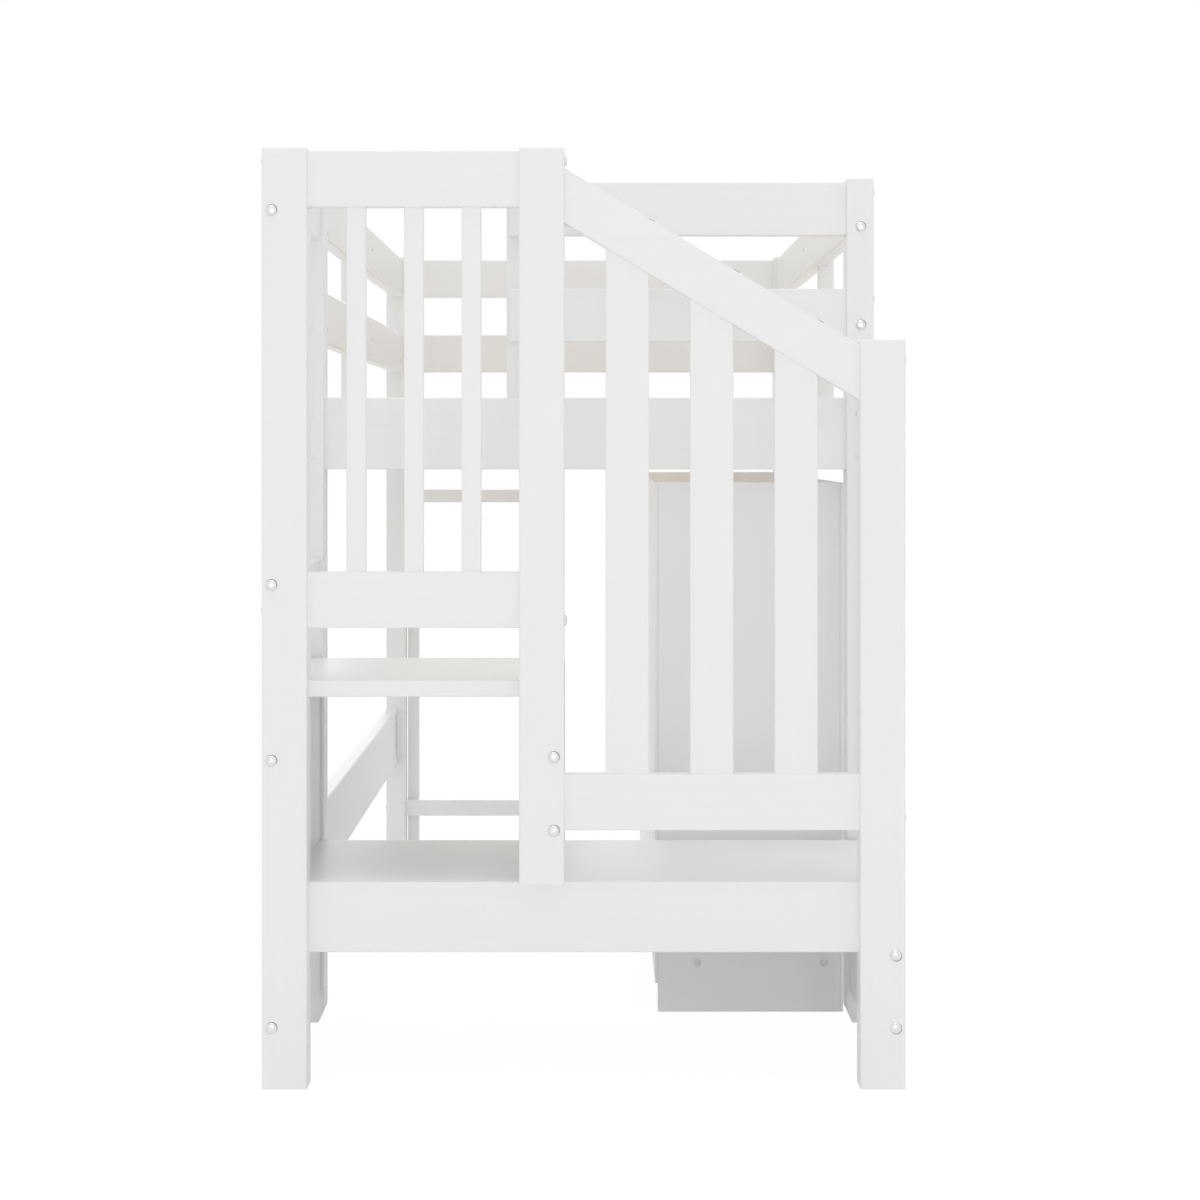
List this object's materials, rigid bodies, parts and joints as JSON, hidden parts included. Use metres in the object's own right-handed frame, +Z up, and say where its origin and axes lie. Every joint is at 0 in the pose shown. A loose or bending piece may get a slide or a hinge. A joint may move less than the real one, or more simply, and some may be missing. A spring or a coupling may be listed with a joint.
{
  "type": "loft bed",
  "caption": "Raised bed with guard rails, a guarded stair across one end and a cabinet of drawers, open shelves and doors under its long side.",
  "frame": {"origin": "on the floor at the centre of the outline seen from above", "axes": "+X towards the room side where the cabinet opens, +Y from the stair to the far end along the bed, +Z up"},
  "size_m": [1.0758, 2.494, 1.56],
  "materials": {
    "painted_wood": "white satin paint over timber",
    "bare_pine": "sanded and unpainted",
    "bolt_metal": "bright nickel plate",
    "rod_steel": "satin"
  },
  "bodies": {
    "frame": {"bed_post_far_left": "painted_wood", "bed_post_far_right": "painted_wood", "bed_post_near_left": "painted_wood", "bed_post_near_right": "painted_wood", "bed_slats": "bare_pine", "cabinet_back": "painted_wood", "cabinet_dividers": "painted_wood", "cabinet_floor": "painted_wood", "cabinet_plinth": "painted_wood", "cabinet_shelves": "painted_wood", "cabinet_side_far": "painted_wood", "cabinet_side_near": "painted_wood", "cabinet_ties": "painted_wood", "cabinet_top": "painted_wood", "drawer_bearers": "painted_wood", "end_rail_far": "painted_wood", "end_rail_near": "painted_wood", "entry_post": "painted_wood", "far_frame_top_rail": "painted_wood", "far_frame_uprights": "painted_wood", "far_low_rail": "painted_wood", "frame_bolts": "bolt_metal", "guard_rails_far": "painted_wood", "guard_rails_left": "painted_wood", "guard_rails_near": "painted_wood", "guard_rails_right": "painted_wood", "guard_supports": "painted_wood", "low_stretcher": "painted_wood", "side_rail_left": "painted_wood", "side_rail_right": "painted_wood", "slat_supports": "painted_wood", "stair_guard_board_low": "painted_wood", "stair_guard_board_top": "painted_wood", "stair_handrail": "painted_wood", "stair_left_rail": "painted_wood", "stair_narrow_slats": "painted_wood", "stair_post_left": "painted_wood", "stair_post_middle": "painted_wood", "stair_post_right": "painted_wood", "stair_right_rail": "painted_wood", "stair_side_boards_lower": "painted_wood", "stair_side_boards_upper": "painted_wood", "stair_top_rail": "painted_wood", "stair_wide_slats": "painted_wood", "stretcher_cleats": "painted_wood", "tread_apron": "painted_wood", "tread_lower": "painted_wood", "tread_upper": "painted_wood", "wardrobe_rod": "rod_steel"},
    "door_near": {"door_near": "painted_wood"},
    "door_far": {"door_far": "painted_wood"},
    "drawer_1": {"drawer_box_1": "painted_wood", "drawer_front_1": "painted_wood"},
    "drawer_2": {"drawer_box_2": "painted_wood", "drawer_front_2": "painted_wood"},
    "drawer_3": {"drawer_box_3": "painted_wood", "drawer_front_3": "painted_wood"}
  },
  "joints": [
    {"name": "drawer_1_slide", "type": "slide", "parent": "frame", "child": "drawer_1", "axis": [1, 0, 0], "range_m": [0, 0.25]},
    {"name": "drawer_2_slide", "type": "slide", "parent": "frame", "child": "drawer_2", "axis": [1, 0, 0], "range_m": [0, 0.25]},
    {"name": "drawer_3_slide", "type": "slide", "parent": "frame", "child": "drawer_3", "axis": [1, 0, 0], "range_m": [0, 0.25]},
    {"name": "door_near_hinge", "type": "hinge", "parent": "frame", "child": "door_near", "pos_m": [0.472, 0.56917, 0.5405], "axis": [0, 0, -1], "range_deg": [0, 100]},
    {"name": "door_far_hinge", "type": "hinge", "parent": "frame", "child": "door_far", "pos_m": [0.472, 1.1415, 0.5405], "axis": [0, 0, 1], "range_deg": [0, 100]}
  ]
}
